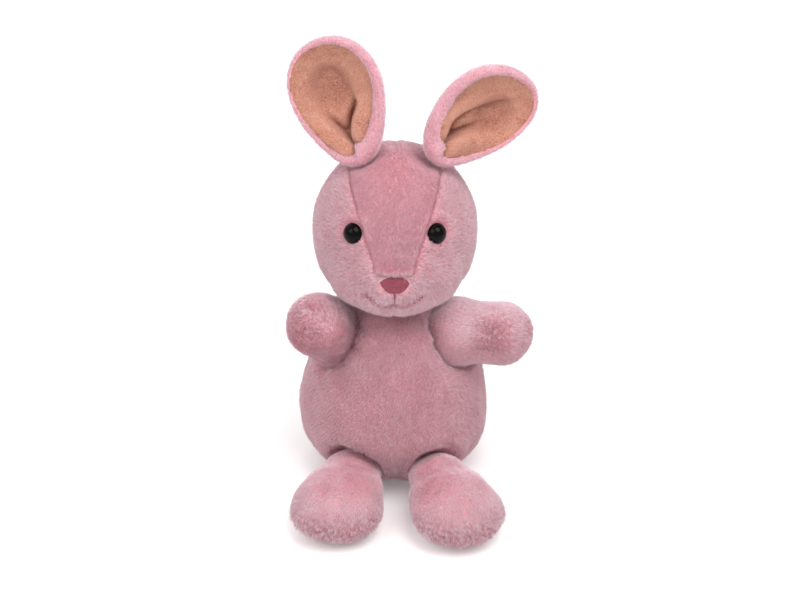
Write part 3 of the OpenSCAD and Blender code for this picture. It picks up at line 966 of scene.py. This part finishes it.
def build_leg(side, torso_tree):
    """One leg's skin and pile: a plump top over a flat sole, joined by the toe seam."""
    root, along = limb_frame("leg", side)
    nodes = [f"leg_top_{side}", f"leg_sole_{side}"]
    skin = moulded(f"leg_skin_{side}", nodes + [f"leg_stuffing_{side}"], 3 * MM, 14)
    foot = root * np.array([1, 1, 0]) + along * FOOT_REACH + np.array([0, 0, 16.5 * MM])

    def held(p):
        seam = dip(p[:, 2] - SOLE_SEAM_Z, 2 * MM)
        return np.maximum.reduce([seam, (p[:, 2] < 2 * MM) * 1.0, 1 - ramp(away(p, root), 19 * MM, 24 * MM)])

    def relief(p):
        run = (p - root) @ along
        out = -1.5 * MM * dip(p[:, 2] - SOLE_SEAM_Z, 1.4 * MM) * ramp(run, 8 * MM, 18 * MM)
        around = np.arctan2(p[:, 1] - foot[1], p[:, 0] - foot[0])
        swell = 1.6 * MM * dip(p[:, 2] - 10 * MM, 8 * MM)
        out += swell * ramp(run, FOOT_REACH - 32 * MM, FOOT_REACH + 8 * MM)
        gathers = 0.5 * MM * np.cos(around * 26) * dip(p[:, 2] - SOLE_SEAM_Z, 3 * MM)
        out += gathers * ramp(run, FOOT_REACH - 15 * MM, FOOT_REACH)
        return out + 0.25 * MM * ripple(p, 16 * MM, 15)

    def look(p, n):
        run = (p - root) @ along
        seam = dip(p[:, 2] - SOLE_SEAM_Z, 1.1 * MM)
        toe = ramp(run, FOOT_REACH - 8 * MM, FOOT_REACH + 18 * MM)
        rough = toe * dip(p[:, 2] - (SOLE_SEAM_Z + 4 * MM), 8 * MM)
        nap = unit(along + toe[:, None] * np.array([0, 0, -0.8]))
        length = 2.5 * MM * (1 - 0.55 * seam) * (1 + 0.35 * rough)
        length = np.where(p[:, 2] < 1.5 * MM, 1.5 * MM, length)
        lean = 1.05 - 0.35 * rough
        # Painted light: the whole leg's pile is paler than the torso's, for the light on the leg tops.
        shade = 0.84 - 0.75 * seam - 0.16 * rough + 0.34 * rough * ripple(p, 3 * MM, 78)
        clear, length, lean = near_torso(p, torso_tree, root, length, lean)
        chance = np.where(n[:, 2] < -0.97, 0.4, 1) * clear
        return chance, length, lean, nap, shade, 0.06 + 0.9 * rough

    swollen(skin, held, 1.0 * MM, relief)
    filling = moulded(f"leg_filling_{side}", [f"leg_stuffing_{side}"], 3 * MM)
    for obj in (skin, filling):
        co = points_of(obj)
        under_belly = ramp(co[:, 2], 14 * MM, 34 * MM) * (1 - ramp((co - root) @ along, 4 * MM, 26 * MM))
        co[:, 2] -= LEG_SAG * under_belly
        move_points(obj, co)
        above_floor(obj)
    finished(filling, f"leg_{side}", FILL)
    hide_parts(f"leg_stuffing_{side}")
    cover(skin, f"leg_{side}", nodes)
    pile(f"leg_pile_{side}", skin, f"leg_{side}", look, ROSE, 400 + SIDES[side])


def build_tail(torso_tree):
    """The ball of the tail, in longer and looser pile."""
    skin = moulded("tail_skin", ["tail_cover", "tail_stuffing"], 2 * MM)
    subdivided(skin, 1)

    def look(p, n):
        nap = unit(p - TAIL_ROOT)
        chance = off_torso(p, torso_tree, TAIL_ROOT, 14 * MM) > 0.5 * MM
        return chance, 3.4 * MM, 0.7, nap, 0.72, 0.6

    cover(skin, "tail", ["tail_cover"])
    pile("tail_pile", skin, "tail", look, ROSE, 500)


# --- The ears ---

EAR_LEAN = {"left": math.radians(15), "right": math.radians(49)}
EAR_MIDDLE = 36 * MM
EAR_RAISE = 3.5 * MM
EAR_CUP = 9 * MM
EAR_BASE_SOFT = 24 * MM


class Ear:
    """One ear's own measures: along it from its root, across it towards the head's middle, and forward."""

    def __init__(self, side, half_length, outer, inner, hollow, folds, rim):
        lean, sign = EAR_LEAN[side], SIDES[side]
        self.side = side
        self.root = EARS[side] + np.array([0, 0, EAR_RAISE])
        self.along = np.array([sign * math.sin(lean), 0, math.cos(lean)])
        self.across = np.array([-sign * math.cos(lean), 0, math.sin(lean)])
        self.front = np.array([0, -1.0, 0])
        self.half_length, self.outer, self.inner = half_length, outer, inner
        self.hollow, self.folds, self.rim = hollow, folds, rim

    def world(self, along, across, front):
        """Points in the frame from the ear's own measures."""
        return self.root + (
            np.multiply.outer(along, self.along)
            + np.multiply.outer(across, self.across)
            + np.multiply.outer(front, self.front)
        )

    def measures(self, p):
        """The ear's own measures of points in the frame."""
        return tuple((p - self.root) @ way for way in (self.along, self.across, self.front))

    def outline(self, turn):
        """The ear's edge: turn runs from -pi at the outer root over 0 at the tip to pi at the inner root."""
        width, narrow = np.where(turn[:, None] < 0, self.outer, self.inner).T
        along = EAR_MIDDLE + self.half_length * np.cos(turn)
        return along, width * np.sin(turn) * (1 + narrow * np.cos(turn))

    def cup(self, along, across):
        """How far the bare cup comes forward at a spot: least in its hollow, most at the rim."""
        raised = EAR_CUP * np.clip(self.reach(along, across), 0, 1.1) ** 1.7
        return raised - self.hollow["depth"] * self.in_hollow(along, across)

    def in_hollow(self, along, across):
        """1 in the scoop that the folds leave in the cup, and 0 outside it."""
        place_along, place_across = self.hollow["at"]
        half_along, half_across = self.hollow["half"]
        out = np.hypot((along - place_along) / half_along, (across - place_across) / half_across)
        return 1 - ramp(out, 0.4, 1.0)

    def reach(self, along, across):
        """How far out a spot lies, from 0 in the cup's middle to 1 on its edge."""
        turn = np.arctan2(across / (24 * MM), (along - EAR_MIDDLE) / self.half_length)
        edge_along, edge_across = self.outline(turn)
        edge = np.hypot(edge_along - EAR_MIDDLE, edge_across)
        return np.hypot(along - EAR_MIDDLE, across) / np.maximum(edge, 1e-6)


def curve_through(knots, count):
    """Points on a smooth curve through a few knots."""
    knots = np.asarray(knots, float)
    ends = np.concatenate([[2 * knots[0] - knots[1]], knots, [2 * knots[-1] - knots[-2]]])
    out = []
    for i in range(len(knots) - 1):
        a, b, c, d = ends[i : i + 4]
        for t in np.linspace(0, 1, count, endpoint=False):
            start = 2 * b + (c - a) * t + (2 * a - 5 * b + 4 * c - d) * t**2
            out.append(0.5 * (start + (3 * b - a - 3 * c + d) * t**3))
    return np.array(out + [knots[-1]])


def folded(ear, along, across, front, to_edge):
    """Lays the folds into the lining. A fold's lip rises and hangs over its crease, towards the cup."""
    free = ramp(to_edge, 0, 3.5 * MM)
    for path, lip, hang, crease, toward, breadth in ear.folds:
        line = curve_through(np.asarray(path) * MM, 14)
        spots = np.stack([along, across], axis=1)
        gaps = np.linalg.norm(spots[:, None] - line[None], axis=2)
        nearest = gaps.argmin(axis=1)
        tangent = unit(np.gradient(line, axis=0))[nearest]
        normal = np.stack([-tangent[:, 1], tangent[:, 0]], axis=1) * toward
        offset = ((spots - line[nearest]) * normal).sum(axis=1)
        run = nearest / (len(line) - 1)
        strength = np.interp(run, np.linspace(0, 1, len(lip)), lip)
        beyond = gaps.min(axis=1) - np.abs(offset)
        strength = strength * dip(beyond, 4 * MM) * free
        rise = ramp(offset, -1.2 * MM, 1.6 * MM) * (1 - ramp(offset, 3 * MM, breadth * MM))
        front = front + strength * MM * rise
        front = front - crease * MM * np.minimum(strength / max(lip), 1) * dip(offset + 2.2 * MM, 2.6 * MM)
        pull = -hang * MM * np.minimum(strength / max(lip), 1) * dip(offset - 1.8 * MM, 2.2 * MM)
        along = along + pull * normal[:, 0]
        across = across + pull * normal[:, 1]
    return along, across, front


BACK_SHEET = (2.2 * MM, 8.0 * MM)


def set_back(share, back):
    """How far a layer lies behind the cup, from its edge, where share is 1, to its middle, where it is 0."""
    edge, middle_back = back
    return edge + (middle_back - edge) * (1 - share**6)


def cup_sheet(ear, name, inset, back, with_folds):
    """The cup as a sheet of rings round its middle, set back from the rim's line."""
    rings, spokes = 64, 168
    turn = np.linspace(-math.pi, math.pi, spokes, endpoint=False)
    edge_along, edge_across = ear.outline(turn)
    along, across = [], []
    for r in range(rings + 1):
        share = inset * (r / rings)
        along.append(EAR_MIDDLE + share * (edge_along - EAR_MIDDLE))
        across.append(share * edge_across)
    along, across = np.concatenate(along), np.concatenate(across)
    share = np.repeat(np.arange(rings + 1) / rings, spokes)
    cup = ear.cup(along, across)
    front = cup - set_back(share, back)
    if with_folds:
        length = np.tile(np.hypot(edge_along - EAR_MIDDLE, edge_across), rings + 1)
        along, across, front = folded(ear, along, across, front, (1 - share) * inset * length)
        front = np.maximum(front, cup - set_back(share, BACK_SHEET) + 2.2 * MM)
    verts = ear.world(along, across, front)
    faces = quads(rings, spokes, closed=True)[spokes:]
    faces += [(0, spokes + (s + 1) % spokes, spokes + s) for s in range(spokes)]
    return mesh_object(name, verts, faces)


def build_ear(ear, head):
    """One ear: the plush back and padded rim in one skin, and the short-pile lining laid into its cup."""
    side = ear.side
    lining = cup_sheet(ear, f"ear_lining_cloth_{side}", 0.96, (0.6 * MM, 0.6 * MM), True)
    thickened(lining, 0.7 * MM)
    bm = bmesh.new()
    bm.from_mesh(lining.data)
    bmesh.ops.remove_doubles(bm, verts=bm.verts, dist=0.02 * MM)
    bmesh.ops.recalc_face_normals(bm, faces=bm.faces)
    bm.to_mesh(lining.data)
    bm.free()

    back = thickened(cup_sheet(ear, "ear_back_sheet", 0.97, BACK_SHEET, False), 2.6 * MM)
    turn = np.linspace(-0.985 * math.pi, 0.985 * math.pi, 160)
    edge_along, edge_across = ear.outline(turn)
    radii = np.interp(turn / math.pi, np.linspace(-1, 1, len(ear.rim)), ear.rim) * MM
    centre = np.stack([np.full_like(edge_along, EAR_MIDDLE), np.zeros_like(edge_along)], axis=1)
    spots = np.stack([edge_along, edge_across], axis=1)
    spots += unit(centre - spots) * radii[:, None]
    rim_front = ear.cup(spots[:, 0], spots[:, 1]) + 0.2 * radii
    rim = tube("ear_rim", ear.world(spots[:, 0], spots[:, 1], rim_front), radii, 16)
    shell = joined(f"ear_skin_{side}", [back, rim])
    remeshed(shell, 1.3 * MM, 8)
    finished(shell, None, BACKING)
    finished(lining, None, PEACH_BACKING)
    cover_tree, shell_tree, head_tree = tree_of(lining), tree_of(shell), tree_of(head)

    def plush(p, n):
        outward = unit(p - ear.world(EAR_MIDDLE, 0, 0))
        nap = unit(ear.along + 0.5 * outward)
        chance = np.ones(len(p))
        along, across, front = ear.measures(p)
        in_cup = (ear.reach(along, across) < 0.93) & (front < ear.cup(along, across) - 2 * MM)
        chance[in_cup & (n @ ear.front > 0)] = 0
        chance[np.abs(depth_in(p, cover_tree)) < 0.35 * MM] = 0
        chance[depth_in(p, head_tree) < 0.2 * MM] = 0
        return chance, 1.9 * MM, 0.95, nap, 0.74, 0.25

    def short(p, n):
        nap = np.broadcast_to(ear.along, p.shape)
        to_rim = depth_in(p, shell_tree)
        chance = np.where((n @ ear.front > -0.15) & (to_rim > 0.1 * MM), 1.0, 0.0)
        along, across, front = ear.measures(p)
        # Painted shade: the lining's pile darkens in its creases, in the folds' hollow, and in the groove under
        # the rim.
        sunk = np.maximum(0, ear.cup(along, across) - front - 0.8 * MM) / MM
        shade = 0.90 - 0.17 * sunk - 0.42 * ear.in_hollow(along, across) - 0.30 * dip(to_rim, 1.0 * MM)
        return chance, 0.8 * MM, 0.75, nap, shade, 0.15

    start, end = ear.root, ear.root + ear.along * EAR_BASE_SOFT
    blend = ("head", f"ear_{side}", tuple(start), tuple(end))
    for piece in (shell, lining):
        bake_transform(piece)
    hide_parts(f"ear_back_{side}")
    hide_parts(f"ear_lining_{side}")
    pile(f"ear_pile_{side}", shell, f"ear_{side}", plush, ROSE, 600 + SIDES[side], blend=blend)
    pile(f"ear_lining_pile_{side}", lining, f"ear_{side}", short, PEACH, 700 + SIDES[side],
         density=6 / (MM * MM), radius=0.13 * MM, blend=blend)


# Each ear's half length, then its edge as (half-width, how much it narrows to the root) for its outer and
# inner half, the scoop in its cup, its folds, and its rim's radius from the outer root over the tip to the inner
# root. A fold has its line from the root as along and across in millimetres, its height along that line, how far
# its lip hangs over, how deep the crease is, the side that the lip lies on, and how broad the fold is.
LEFT_EAR = Ear(
    "left",
    half_length=39.5 * MM,
    outer=(26.0 * MM, 0.23),
    inner=(24.5 * MM, 0.22),
    hollow={"at": (43 * MM, -4 * MM), "half": (19 * MM, 15 * MM), "depth": 4.5 * MM},
    folds=[
        ([(0, 0), (12.5, 1.6), (20, 3.9), (26.5, 7.6), (31, 9.5), (38, 8)],
         [2.5, 5, 6, 5.5, 4.0, 1.0], 3.0, 5.0, 1, 14),
        ([(0, 0), (6, -0.5), (17, -7.3), (29, -13.4)], [2, 4.5, 4.5, 1.0], 2.0, 4.0, -1, 12),
    ],
    rim=[4.0, 1.8, 1.0, 1.0, 1.6, 2.2, 2.8, 4.8, 6.5],
)
RIGHT_EAR = Ear(
    "right",
    half_length=36.5 * MM,
    outer=(20.5 * MM, 0.18),
    inner=(26.5 * MM, 0.20),
    hollow={"at": (42 * MM, -3 * MM), "half": (17 * MM, 12 * MM), "depth": 3.5 * MM},
    folds=[
        ([(0, 0), (9, 3), (18, 8.6), (25.5, 11.3), (37, 8.3), (46.5, 1.3), (55, -2)],
         [2.5, 5, 5.5, 5, 3.4, 1.6, 0.4], 2.5, 4.0, 1, 12),
        ([(0, 0), (8, 1.5), (14, 0.5), (21, -1.5), (28, -4.8), (32, -7.3)],
         [2, 4.5, 5, 4.5, 3.5, 0.8], 2.0, 4.0, -1, 12),
        ([(32, -7.3), (30, -12.2), (26.5, -18)], [0.8, 2.2, 0.5], 0.6, 1.2, -1, 9),
    ],
    rim=[4.0, 2.0, 1.0, 1.0, 1.6, 2.4, 3.0, 4.6, 6.0],
)

# --- Small parts that keep their CAD shape, and the label ---


def paint(node, material):
    """Gives a CAD node one material."""
    obj = frame["nodes"][node]
    obj.data.materials.clear()
    obj.data.materials.append(material)


def paint_small_parts():
    """The eyes, washers, rings, stitches and stuffing."""
    eye, washer, cloth = glossy_eye(), washer_plastic(), seam_cloth()
    for side in SIDES:
        paint(f"eye_{side}", eye)
        paint(f"eye_washer_{side}", washer)
        paint(f"shoulder_seam_{side}", cloth)
        paint(f"hip_seam_{side}", cloth)
        paint(f"arm_stuffing_{side}", FILL)
    paint("neck_seam", cloth)
    for node in ("head_stuffing", "tail_stuffing"):
        paint(node, FILL)
    paint("closing_stitches", THREAD)


LABEL_W = 12 * MM
LABEL_L = 18 * MM


def build_label():
    """The care label: a strip of woven tape sewn into the seat seam, curling down to lie on the floor."""
    lo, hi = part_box("care_label")
    out = unit(np.array([lo.x + hi.x, lo.y + hi.y, 0]))
    across = np.array([-out[1], out[0], 0])
    start = np.array([(lo.x + hi.x) / 2, (lo.y + hi.y) / 2, 0]) - out * LABEL_L / 2
    rows, columns = 24, 14
    verts = []
    lengths = np.linspace(0, LABEL_L, rows + 1)
    slope = 0.16 * np.cos(lengths / LABEL_L * 3.2)
    x = np.concatenate([[0], (np.cos(slope[:-1]) * LABEL_L / rows).cumsum()])
    z = 1.6 * MM - np.concatenate([[0], (np.sin(slope[:-1]) * LABEL_L / rows).cumsum()])
    for i in range(rows + 1):
        for k in range(columns + 1):
            t = (k / columns - 0.5) * LABEL_W
            verts.append(start + out * x[i] + across * t + np.array([0, 0, max(z[i], 0.35 * MM)]))
    label = thickened(mesh_object("care_label_tape", verts, quads(rows, columns)), 0.3 * MM)
    finished(label, "torso", woven_label())
    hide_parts("care_label")


# --- The room ---

CAMERA_RISE = math.radians(30)
CAMERA_DISTANCE = 1.1
CAMERA_LENS = 85.3
LOOK_AT = Vector((2.9 * MM, -20 * MM, 120 * MM))


def build_camera():
    """The camera, in front of the toy and above it."""
    data = bpy.data.cameras.new("camera")
    data.lens = CAMERA_LENS
    data.sensor_width = 36
    camera = linked("camera", data)
    camera.location = LOOK_AT + CAMERA_DISTANCE * Vector((0, -math.cos(CAMERA_RISE), math.sin(CAMERA_RISE)))
    camera.rotation_euler = (LOOK_AT - camera.location).to_track_quat("-Z", "Y").to_euler()
    bpy.context.scene.camera = camera


def area_light(name, place_at, size, power):
    """A round soft light aimed at the toy."""
    data = bpy.data.lights.new(name, "AREA")
    data.shape = "DISK"
    data.size = size
    data.energy = power
    light = linked(name, data)
    light.location = place_at
    light.rotation_euler = (Vector((0, 0, 0.12)) - Vector(place_at)).to_track_quat("-Z", "Y").to_euler()


def build_room():
    """A pale floor that glows faintly, a white surround and soft lights."""
    floor = mesh_object("floor", [(-6, -6, 0), (6, -6, 0), (6, 6, 0), (-6, 6, 0)], [(0, 1, 2, 3)])
    white = (1, 1, 1, 1)
    # The floor's faint glow is painted light: it lifts the shadows on the floor.
    floor.data.materials.append(
        grained("pale_floor", (247, 247, 247), 0.9, [(246, 246, 246), (249, 249, 249)], [0.2], 0.02, 0.002,
                Emission_Color=white, Emission_Strength=0.12)
    )
    world = bpy.data.worlds.new("surround")
    world.use_nodes = True
    background = world.node_tree.nodes["Background"]
    background.inputs["Color"].default_value = white
    background.inputs["Strength"].default_value = 0.78
    bpy.context.scene.world = world
    area_light("key", (0.50, -0.50, 1.40), 1.1, 13)
    area_light("fill", (-0.80, -0.70, 1.20), 1.0, 6)
    area_light("back", (-0.2, 1.0, 1.1), 0.8, 3)
    bpy.context.scene.view_settings.view_transform = "Standard"


build_camera()
BACKING = plush_backing()
PEACH_BACKING = peach_backing()
THREAD = thread()
FILL = fibre_fill()
ROSE = tints("rose_pile", ROSE_DEEP, ROSE_PALE, 0.5, (255, 232, 236))
PEACH = tints("peach_pile", PEACH_DEEP, PEACH_PALE, 0.25, (255, 236, 224))

head = build_head()
build_nose(head)
build_mouth(head)
torso_tree = tree_of(build_torso())
for side in SIDES:
    build_arm(side, torso_tree)
    build_leg(side, torso_tree)
build_tail(torso_tree)
build_ear(LEFT_EAR, head)
build_ear(RIGHT_EAR, head)
paint_small_parts()
build_label()
build_room()
